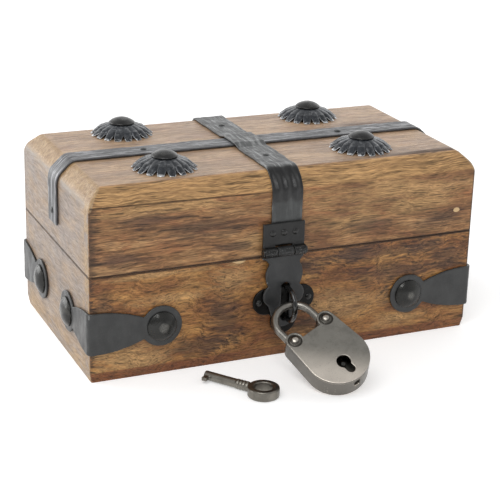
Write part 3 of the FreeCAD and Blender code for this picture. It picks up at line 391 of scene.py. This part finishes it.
def iron(name, tone, pale, drawn=(3, 3, 3), dent=5.0, depth=0.10, rough=(0.32, 0.50), rub=(0.53, 0.62),
         streak=0.0, metal=0.2, gloss=0.8, bend_shade=0.0, crown_highlight=0.0, dark_band_and_glints=None, tip_glints=0.0, hollow_shade=0.0):
    """Blackened iron with hammer marks and scuffs, whose raised edges are rubbed pale.

    drawn is the size of the scuffs along each axis in millimetres, and streak how strongly they show on
    top. dent and depth are the size and depth of the hammer marks, rough is the range of roughness, and rub
    that of the sharpness of edges that are rubbed. bend is how strongly painted shade darkens the metal where
    the cross strap turns down over the front, most between its folds, crown how strongly a painted highlight
    lightens the middles of domes, tips how bright the painted glints on the rims of the rosettes are, and
    groove how strongly painted shade darkens the hollows. sooty is a range of heights that is coloured nearly
    black, with painted glints in it.
    """
    g = Graph(bpy.data.materials.new(name))
    where = g.place()
    px, py, pz = g.axes(where)
    x, y, _ = g.facing()
    blows = g.noise(where, 1 / dent, 1.5, 0.4)
    grit = g.noise(where, 2.0, 3.0, 0.6)
    soot = g.noise(where, 0.09, 3.0, 0.6)
    scuffs = g.spots(where, drawn, detail=3.0, rough=0.6)
    off_front = g.span(g.absolute(y), 0.9, 0.5, 0.15, 1.0)
    colour = g.mix(g.span(soot, 0.35, 0.65), tone, dimmed(tone, 0.66))
    colour = g.coat(colour, pale, g.span(scuffs, 0.50, 0.68), off_front, share=streak)
    colour = g.coat(colour, GRIT, g.span(grit, 0.60, 0.72), share=0.22)
    rubbed = g.times(g.edges(*rub), g.span(grit, 0.32, 0.55, 0.25, 1.0))
    sheen = g.span(g.plus(g.times(scuffs, 0.6), g.times(grit, 0.4)), 0.35, 0.65, rough[1], rough[0])
    # Painted shade on the front bend of the cross strap, darkest in the hollows between its folds
    if bend_shade:
        height = g.plus(pz, g.times(g.about_zero(blows), BEND_WAVE))
        turning = g.times(g.span(height, *BEND_FOOT), g.span(height, *BEND_HEAD), g.span(py, *BEND_FRONT),
                          g.span(y, -0.20, -0.48))
        ridge = g.math("COSINE", g.times(g.minus(px, STRAP_X), 2 * math.pi / FOLD_PITCH))
        colour = g.coat(colour, BEND_SHADE, turning, g.span(ridge, 1.0, 0.6, 0.78, 1.0), share=bend_shade)
        rubbed = g.times(rubbed, g.span(turning, 0.0, 1.0, 1.0, 0.15))
        sheen = g.times(sheen, g.span(turning, 0.0, 1.0, 1.0, 0.85))
    # Painted highlight on the flat middles of the domes
    if crown_highlight:
        middle = g.span(g.larger(g.absolute(x), g.absolute(y)), 0.975, 0.997)
        colour = g.coat(colour, pale, middle, g.span(grit, 0.40, 0.60, 0.3, 1.0), share=crown_highlight)
    # A band of heights coloured nearly black, with painted glints in its specks
    if dark_band_and_glints:
        low, high = dark_band_and_glints
        blackened = g.times(g.span(pz, low - KNUCKLE_BLUR, low + KNUCKLE_BLUR),
                            g.span(pz, high + KNUCKLE_BLUR, high - KNUCKLE_BLUR))
        colour = g.coat(colour, KNUCKLE_BLACK, blackened, share=0.85)
        colour = g.coat(colour, pale, blackened, g.span(grit, 0.57, 0.63), share=0.6)
    # Painted glints at the rims of the rosettes
    if tip_glints:
        away = g.distance(*[g.minus(g.absolute(g.minus(at, middle)), half)
                            for at, middle, half in zip((px, py), ROSETTES_AT, ROSETTES_HALF)])
        rim_glints = g.span(away, *[ROSETTE_RADIUS - inset for inset in TIP_GLINT_BAND])
        colour = g.coat(colour, pale, rim_glints, g.span(g.noise(where, 0.45, 2.0), 0.48, 0.56), share=tip_glints)
    # Painted shade in the hollows
    if hollow_shade:
        colour = g.coat(colour, HOLLOW_SHADE, g.edges(0.498, 0.470), share=hollow_shade)
    colour = g.coat(colour, pale, rubbed)
    fine = g.bump(g.plus(g.times(grit, 0.4), g.times(scuffs, 0.6)), depth * 0.5)
    return g.finish(Base_Color=colour, Metallic=metal, Roughness=sheen, Specular_IOR_Level=gloss,
                    Normal=g.bump(blows, depth, fine))


def pewter(name, tone, dark, bright, brushed, turn=(0, 0, 0), face=None, glow=None, rings=(), pits=()):
    """Brushed antique metal, darker in its recesses, bright on edges where hands rub it, and with painted light
    and shade.

    brushed is the size of the brush marks along the turned axes. What doesn't look along face, where given,
    is darkened by painted shade. glow is (direction, start, end) of the side made paler by painted light.
    rings are (axis point, radius) of dark grooves about lines along face, and pits (point, radius) of holes
    painted dark as their shade.
    """
    g = Graph(bpy.data.materials.new(name))
    where = g.place()
    lines = g.spots(g.place(turn=turn), brushed, detail=2.0, rough=0.6)
    patina = g.noise(where, 0.16, 4.0, 0.62)
    specks = g.noise(where, 1.6, 3.0, 0.6)
    colour = g.mix(g.span(patina, 0.38, 0.66), tone, dimmed(tone, 0.74))
    # Painted light: paler towards one side
    if glow:
        direction, start, end = glow
        along = g.vector("DOT_PRODUCT", where, direction, out=1)
        colour = g.coat(colour, bright, g.span(along, start, end), share=0.9)
    # Painted shade on the surfaces that don't look along face
    if face:
        turned = g.absolute(g.vector("DOT_PRODUCT", g.coords.outputs["Normal"], face, out=1))
        colour = g.coat(colour, dimmed(tone, 0.30), g.span(turned, 0.85, 0.45), share=0.85)
    colour = g.coat(colour, dark, g.span(specks, 0.58, 0.72), share=0.30)
    colour = g.coat(colour, dark, g.edges(0.46, 0.38), share=0.8)
    for axis_point, radius in rings:
        offset = g.vector("CROSS_PRODUCT", g.vector("SUBTRACT", where, axis_point), face)
        off_ring = g.absolute(g.minus(g.vector("LENGTH", offset, out=1), radius))
        colour = g.coat(colour, dark, g.span(off_ring, 0.75, 0.25), share=0.85)
    # Painted shade inside the holes
    for point, radius in pits:
        apart = g.vector("DISTANCE", where, point, out=1)
        colour = g.coat(colour, dimmed(dark, 0.2), g.span(apart, radius, radius * 0.8))
    colour = g.coat(colour, bright, g.edges(0.57, 0.68), share=0.3)
    rough = g.span(g.plus(g.times(lines, 0.5), g.times(patina, 0.5)), 0.35, 0.65, 0.28, 0.42)
    return g.finish(Base_Color=colour, Metallic=1.0, Roughness=rough, Normal=g.bump(lines, 0.03))


# Materials of the boards, with patches as (x, z, half length, half height) and on the top (x, y, ...)
LID_TONES = srgb(128, 90, 60), srgb(150, 110, 72), srgb(170, 131, 90)
BASE_TONES = srgb(119, 77, 45), srgb(150, 105, 60), srgb(174, 129, 76)
# Smoky patches on the lid's front; the last, behind the hasp's knuckle, is a painted shadow
LID_MARKS_AND_SHADOW = [(-48, 71, 26, 7), (-72, 78, 20, 4), (81, 61, 16, 5), (44, 63, 18, 3.5), (-85, 60, 14, 4),
             (-30, 60, 14, 3), (-5, 59, 12, 5)]
BASE_MARKS = [(-34, 24, 12, 18), (45, 47, 34, 5), (28, 48, 16, 4), (76, 47, 14, 5), (88, 40, 13, 8),
              (58, 36, 26, 7), (70, 24, 20, 6), (10, 14, 16, 6), (-95, 35, 6, 12), (-45, 12, 20, 6),
              (12, 46, 9, 7)]
LID_GLOWS = [(56, 78, 48, 8), (32, 66, 22, 6), (-15, 61, 14, 5), (-60, 83, 40, 4), (66, 70, 20, 4)]
# Golden patches on the base's front; the last, along the base's top edge, is a painted highlight
BASE_GLOWS_AND_EDGE_HIGHLIGHT = [(-80, 8, 22, 6), (-82, 13, 26, 9), (-30, 43, 12, 8), (30, 22, 22, 9), (60, 10, 16, 5),
              (-62, 38, 18, 3), (-72, SEAM_Z - 2.1, 34, 1.5)]
TOP_SOOT = [(72, 11, 26, 4.5)]
FILLED_HOLE = (91.9, 64.8, 1.9, 1.4)
SEAM_CHIP = (-26.7, 52.2, 3.8, 1.3)

lid_wood = wood("lid_wood", "X", LID_TONES, seed=(3, 7, 1), sway=(3.0, 0.7), stroke=22.0, marks=LID_MARKS_AND_SHADOW,
                glows=LID_GLOWS, chips=[FILLED_HOLE], edge_shade=6.0, glue_line=GLUE_LINE, sooted=TOP_SOOT)
base_wood = wood("base_wood", "X", BASE_TONES, seed=(41, 13, 9), sway=(10.0, 1.5), stroke=11.0,
                 marks=BASE_MARKS, glows=BASE_GLOWS_AND_EDGE_HIGHLIGHT, chips=[SEAM_CHIP], edge_shade=3.0)
end_wood = wood("end_wood", "Y", BASE_TONES, seed=(17, 5, 29), sway=(6.0, 0.8))

# Materials of the fittings
ROUND_RUB = (0.60, 0.75)
strap_iron = iron("strap_iron", srgb(60, 61, 64), srgb(176, 176, 180), (16, 1.2, 16), dent=4.0, depth=0.30,
                  streak=0.7)
# Painted shade on its front bend
cross_iron = iron("cross_iron", srgb(62, 64, 64), srgb(160, 162, 162), (1.4, 16, 16), dent=5.0, depth=0.22,
                  streak=0.5, gloss=0.65, bend_shade=0.97)
plain_iron = iron("plain_iron", srgb(44, 45, 45), srgb(104, 106, 106), (4, 4, 9), dent=7.0, depth=0.08,
                  streak=0.2, gloss=0.7)
# This and leaf_iron: knuckles coloured nearly black, with painted glints
hasp_iron = iron("hasp_iron", srgb(47, 48, 49), srgb(104, 106, 106), (4, 4, 9), dent=6.0, depth=0.10,
                 streak=0.2, gloss=0.6, dark_band_and_glints=KNUCKLES)
nail_iron = iron("nail_iron", srgb(30, 30, 29), srgb(150, 150, 146), (5, 5, 5), dent=6.0, depth=0.02,
                 rough=(0.18, 0.24), rub=ROUND_RUB, metal=0.5, gloss=0.9)
leaf_iron = iron("leaf_iron", srgb(24, 24, 24), srgb(130, 130, 128), (4, 4, 4), dent=5.0, depth=0.10,
                 rough=(0.28, 0.42), gloss=0.5, dark_band_and_glints=KNUCKLES)
staple_iron = iron("staple_iron", srgb(9, 9, 8), srgb(120, 120, 116), dent=4.0, depth=0.06,
                   rough=(0.14, 0.24), gloss=0.9)
black_iron = iron("black_iron", srgb(6, 6, 5), srgb(60, 60, 58), dent=4.0, depth=0.10, rough=(0.26, 0.40),
                  gloss=0.25)
# Painted glints on the rosettes' rims and painted shade in their hollows
pressed_iron = iron("pressed_iron", srgb(46, 50, 56), srgb(230, 232, 234), (2, 2, 2), dent=3.0, depth=0.05,
                    rough=(0.20, 0.34), rub=(0.515, 0.555), streak=0.12, metal=0.5, tip_glints=0.6, hollow_shade=0.85)
cap_iron = iron("cap_iron", srgb(26, 26, 26), srgb(128, 128, 124), (6, 6, 2), dent=6.0, depth=0.10,
                rough=(0.24, 0.38), rub=ROUND_RUB, streak=0.20, metal=0.4)
# Painted highlight on the middles of the domes
dome_iron = iron("dome_iron", srgb(40, 40, 38), srgb(150, 148, 142), (5, 5, 5), dent=5.0, depth=0.14,
                 rough=(0.20, 0.34), rub=ROUND_RUB, streak=0.10, metal=0.6, crown_highlight=0.4)

# Padlock and key: the lock's own axes run from toe to heel, up to the ears and out of its face
LOCK_RISE, CASE_RADIUS = 18.4, 15.5
RIVET_RING, RIVET_EDGE = 3.0, 1.9
# Side of the lock's face that painted light makes paler: its direction across and up, offset and length
GLOW_ACROSS, GLOW_UP, GLOW_OFFSET, GLOW_LENGTH = -0.75, -0.66, -6.0, 18.0
SLOT_ANGLE, SLOT_RISE = math.radians(-94.3), 1.2
SLOT_WIDTH, SLOT_HEIGHT, SLOT_DEPTH = 3.0, 3.8, 6.0
# Where the painted shade inside the rim's slot sits and how far it reaches
PIT_INSET, PIT_RADIUS = 2.0, 2.7
heel, toe = middle_of("heel_rivet"), middle_of("toe_rivet")
lock_out = AXIS_OF["padlock_open"].normalized()
lock_across = (heel - toe).normalized()
lock_up = lock_out.cross(lock_across)
lock_middle = (heel + toe) / 2 - lock_up * LOCK_RISE
lock_turn = Matrix((lock_across, lock_up, lock_out)).transposed().inverted().to_euler()
glow_way = lock_across * GLOW_ACROSS + lock_up * GLOW_UP
glow_start = lock_middle.dot(glow_way) + GLOW_OFFSET
slot_way = lock_across * math.cos(SLOT_ANGLE) + lock_up * math.sin(SLOT_ANGLE)
slot_at = lock_middle + slot_way * CASE_RADIUS + lock_out * SLOT_RISE

# Painted light on one side of its face, painted shade on its sides and inside the rim's slot
lock_metal = pewter("lock_metal", srgb(146, 143, 136), srgb(40, 37, 33), srgb(226, 217, 205), (9, 0.25, 3),
                    turn=lock_turn, face=lock_out, glow=(glow_way, glow_start, glow_start + GLOW_LENGTH),
                    rings=[(heel, RIVET_RING), (toe, RIVET_RING)],
                    pits=[(slot_at - slot_way * PIT_INSET, PIT_RADIUS)])
rivet_metal = pewter("rivet_metal", srgb(190, 184, 174), srgb(30, 28, 25), srgb(230, 224, 214), (6, 6, 6),
                     face=lock_out, rings=[(heel, RIVET_EDGE), (toe, RIVET_EDGE)])
shackle_metal = pewter("shackle_metal", srgb(140, 137, 131), srgb(44, 42, 38), srgb(205, 198, 188), (6, 6, 6))
key_metal = pewter("key_metal", srgb(132, 128, 120), srgb(46, 43, 39), srgb(206, 200, 190), (6, 6, 0.3))
spring_steel = pewter("spring_steel", srgb(84, 82, 78), srgb(40, 39, 37), srgb(130, 128, 124), (6, 0.3, 6))


# Pieces

WELD_REACH = 0.002


def link(name, mesh):
    piece = bpy.data.objects.new(name, mesh)
    bpy.context.scene.collection.objects.link(piece)
    return piece


def settle(piece):
    """Turns the piece's modifiers into its mesh."""
    bpy.context.view_layer.update()
    graph = bpy.context.evaluated_depsgraph_get()
    mesh = bpy.data.meshes.new_from_object(piece.evaluated_get(graph))
    piece.modifiers.clear()
    old, piece.data = piece.data, mesh
    bpy.data.meshes.remove(old)


def give(mesh, material):
    mesh.materials.clear()
    mesh.materials.append(material)


def dress(piece, node, material):
    """Puts a finished piece in the place of its node."""
    give(piece.data, material)
    piece.data.polygons.foreach_set("use_smooth", [True] * len(piece.data.polygons))
    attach(piece, BODY_OF[node])
    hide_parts(node)


def cloud_texture(size):
    texture = bpy.data.textures.new(f"waves_{size}", "CLOUDS")
    texture.noise_scale = size * MM
    texture.noise_depth = 1
    return texture


WAVES = {size: cloud_texture(size) for size in (2.5, 5.0, 9.0)}


def worn(node, material, voxel, waves, soften=2, shape=None, cutter=None):
    """Puts in a node's place a copy with softened edges and hand-made unevenness.

    waves is {size: height} in millimetres, shape gives each point's own shift, and cutter is cut away first.
    """
    piece = link(f"{node}_worn", NODES[node].data.copy())
    weld = piece.modifiers.new("weld", "WELD")
    weld.merge_threshold = WELD_REACH * MM
    if cutter:
        hole = piece.modifiers.new("hole", "BOOLEAN")
        hole.object = cutter
    remesh = piece.modifiers.new("remesh", "REMESH")
    remesh.mode = "VOXEL"
    remesh.voxel_size = voxel * MM
    smooth = piece.modifiers.new("soften", "SMOOTH")
    smooth.factor = 0.5
    smooth.iterations = soften
    for size, height in waves.items():
        uneven = piece.modifiers.new(f"uneven_{size}", "DISPLACE")
        uneven.texture = WAVES[size]
        uneven.texture_coords = "LOCAL"
        uneven.strength = height * MM
        uneven.mid_level = 0.5
    settle(piece)
    if shape:
        for point in piece.data.vertices:
            point.co += shape(point.co / MM) * MM
    dress(piece, node, material)


def rim_slot():
    """Small hole through the lock's rim, as a block to cut away."""
    sideways = lock_out.cross(slot_way)
    corners = [slot_at + slot_way * a * SLOT_DEPTH / 2 + sideways * b * SLOT_WIDTH / 2
               + lock_out * c * SLOT_HEIGHT / 2 for a in (-1, 1) for b in (-1, 1) for c in (-1, 1)]
    mesh = bpy.data.meshes.new("rim_slot")
    mesh.from_pydata([point * MM for point in corners], [], [
        (0, 1, 3, 2), (4, 6, 7, 5), (0, 4, 5, 1), (2, 3, 7, 6), (0, 2, 6, 4), (1, 5, 7, 3)])
    return link("rim_slot", mesh)


def strap_folds(at):
    """Shift of a point by the three folds that the hammer left in the front bend of the cross strap."""
    window = fade(at.z, *FOLD_FOOT) * fade(at.z, *FOLD_HEAD) * fade(at.y, *FOLD_FRONT)
    swell = 0.5 + 0.5 * math.cos(2 * math.pi * (at.x - STRAP_X) / FOLD_PITCH)
    return FOLD_WAY * (window * swell * FOLD_HEIGHT)


slot_block = rim_slot()

# Material, voxel, waves and number of softening rounds of each piece that is made anew
HAMMERED = {5.0: 0.30, 9.0: 0.5, 2.5: 0.12}
WORN = {
    "long_strap": (strap_iron, 0.4, HAMMERED),
    "cross_strap": (cross_iron, 0.4, HAMMERED),
    "hasp_leaf": (hasp_iron, 0.35, {9.0: 0.2, 5.0: 0.15}),
    "hasp_upper_leaf": (leaf_iron, 0.3, {9.0: 0.2, 5.0: 0.12}),
    "hasp_pin": (leaf_iron, 0.3, {9.0: 0.2, 5.0: 0.12}),
    "staple_plate": (black_iron, 0.3, {5.0: 0.12}),
    "staple": (staple_iron, 0.25, {5.0: 0.08}),
    "rosette_nails": (cap_iron, 0.3, {9.0: 0.3, 5.0: 0.12}),
    "corner_nails": (dome_iron, 0.3, {9.0: 0.3, 5.0: 0.15}),
    "strap_nails": (plain_iron, 0.2, {2.5: 0.08}, 1),
    "hasp_nails": (nail_iron, 0.2, {2.5: 0.08}, 1),
    "plate_nails": (nail_iron, 0.2, {2.5: 0.08}, 1),
    "lock_back_case": (lock_metal, 0.3, {9.0: 0.06}),
    "lock_front_plate": (lock_metal, 0.2, {9.0: 0.06}),
    "lock_shackle": (shackle_metal, 0.25, {9.0: 0.06}),
    "heel_rivet": (rivet_metal, 0.2, {2.5: 0.06}),
    "toe_rivet": (rivet_metal, 0.2, {2.5: 0.06}),
    "key": (key_metal, 0.22, {5.0: 0.08}),
}
for node in NODES:
    if node.startswith("corner_strap"):
        WORN[node] = plain_iron, 0.4, {9.0: 0.22, 5.0: 0.10}
for node in ROSETTES:
    WORN[node] = pressed_iron, 0.2, {5.0: 0.2}, 1
RESHAPED = {"cross_strap": {"shape": strap_folds}, "lock_back_case": {"cutter": slot_block}}
PLAIN = {"lock_latch": spring_steel, "key_post": black_iron}

for node in NODES:
    if node in WORN:
        worn(node, *WORN[node], **RESHAPED.get(node, {}))
    elif node.endswith(("left_board", "right_board")):
        give(NODES[node].data, end_wood)
    elif node.endswith(("board", "panel")):
        give(NODES[node].data, lid_wood if node.startswith("lid_") else base_wood)
    else:
        give(NODES[node].data, PLAIN.get(node, plain_iron))
bpy.data.objects.remove(slot_block)


# Floor, light and camera

FLOOR_HALF = 12.0
WHITE = (1.0, 1.0, 1.0, 1.0)
PAPER_TONE, PAPER_GLOW = (0.82, 0.82, 0.82, 1.0), 0.37
mesh = bpy.data.meshes.new("floor")
mesh.from_pydata([(x * FLOOR_HALF, y * FLOOR_HALF, 0) for x, y in ((-1, -1), (1, -1), (1, 1), (-1, 1))], [],
                 [(0, 1, 2, 3)])
floor = link("floor", mesh)
paper = Graph(bpy.data.materials.new("paper"))
paths = paper.tree.nodes.new("ShaderNodeLightPath")
seen = paper.plus(*[paths.outputs[f"Is {kind} Ray"] for kind in ("Camera", "Glossy", "Transmission")])
glow = paper.times(paper.math("MINIMUM", seen, 1.0), PAPER_GLOW)
mesh.materials.append(paper.finish(Base_Color=PAPER_TONE, Roughness=0.9, Specular_IOR_Level=0.0,
                                   Emission_Color=WHITE, Emission_Strength=glow))

TOWARDS_CAMERA = Vector((CAMERA_AT.x, CAMERA_AT.y, 0)).normalized()
BRIGHT_BEHIND, DIM_IN_FRONT = 1.45, 0.45
OVERHEAD_FROM, DIM_OVERHEAD = 0.45, 0.5
world = bpy.data.worlds.new("studio")
bpy.context.scene.world = world
sky = Graph(world)
ray = sky.coords.outputs["Generated"]
forward = sky.vector("DOT_PRODUCT", ray, TOWARDS_CAMERA, out=1)
level = sky.span(forward, -1.0, 1.0, BRIGHT_BEHIND, DIM_IN_FRONT, smooth=False)
overhead = sky.span(sky.axes(ray)[2], OVERHEAD_FROM, 1.0, 1.0, DIM_OVERHEAD, smooth=False)
sky.finish("Background", Color=WHITE, Strength=sky.times(level, overhead))


def softbox(name, at, aim, size, watts):
    data = bpy.data.lights.new(name, "AREA")
    data.shape = "RECTANGLE"
    data.size, data.size_y = size
    data.energy = watts
    lamp = bpy.data.objects.new(name, data)
    lamp.location = at
    lamp.rotation_euler = (Vector(aim) - Vector(at)).to_track_quat("-Z", "Y").to_euler()
    lamp.visible_camera = False
    bpy.context.scene.collection.objects.link(lamp)


CHEST_MIDDLE, CHEST_LEFT = (0, 0, 0.04), (-0.1, 0, 0.04)
ABOVE_CAMERA = CAMERA_AT + Vector((0.10, 0.0, 0.16))
softbox("key", at=(-0.7, -0.7, 1.3), aim=CHEST_MIDDLE, size=(0.9, 0.9), watts=9.0)
softbox("left_sheen", at=(-0.9, 0.8, 0.35), aim=CHEST_LEFT, size=(0.9, 0.6), watts=7.0)
softbox("catchlight", at=ABOVE_CAMERA, aim=CHEST_MIDDLE, size=(0.16, 0.08), watts=0.45)

lens = bpy.data.cameras.new("camera")
lens.sensor_width = SENSOR
lens.lens = FOCAL_PIXELS * SENSOR / PHOTO_PIXELS
camera = bpy.data.objects.new("camera", lens)
camera.location = CAMERA_AT
camera.rotation_mode = "QUATERNION"
camera.rotation_quaternion = CAMERA_LOOKS.to_track_quat("-Z", "Y") @ Quaternion((0, 0, 1), CAMERA_ROLL)
bpy.context.scene.collection.objects.link(camera)
bpy.context.scene.camera = camera
bpy.context.scene.view_settings.view_transform = "Standard"
